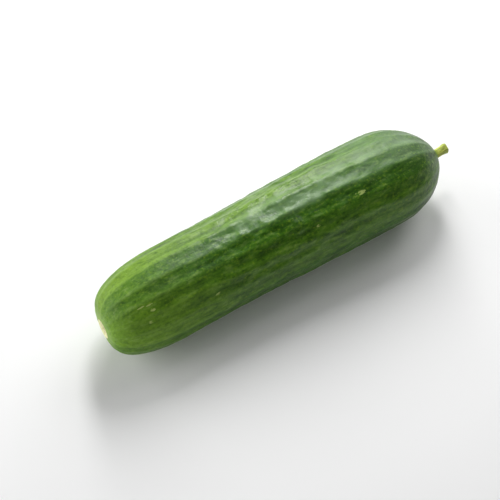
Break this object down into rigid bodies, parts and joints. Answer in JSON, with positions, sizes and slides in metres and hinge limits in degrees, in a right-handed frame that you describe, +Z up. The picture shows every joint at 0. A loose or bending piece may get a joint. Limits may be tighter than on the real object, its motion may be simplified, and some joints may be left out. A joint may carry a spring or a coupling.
{
  "type": "cucumber",
  "caption": "Short smooth-skinned cucumber with low lengthwise ribs, a pale blossom scar and a cut stem stub, lying on its side.",
  "frame": {"origin": "on the surface that the fruit rests on, below the middle of the part's bounding box", "axes": "+X from the blossom end to the stem, +Y to the side that the fruit bends towards, +Z up"},
  "size_m": [0.1714, 0.0422, 0.0414],
  "materials": {
    "skin": "satin",
    "stem": "matte"
  },
  "bodies": {
    "root": {"fruit": "skin", "stem": "stem"}
  },
  "joints": []
}
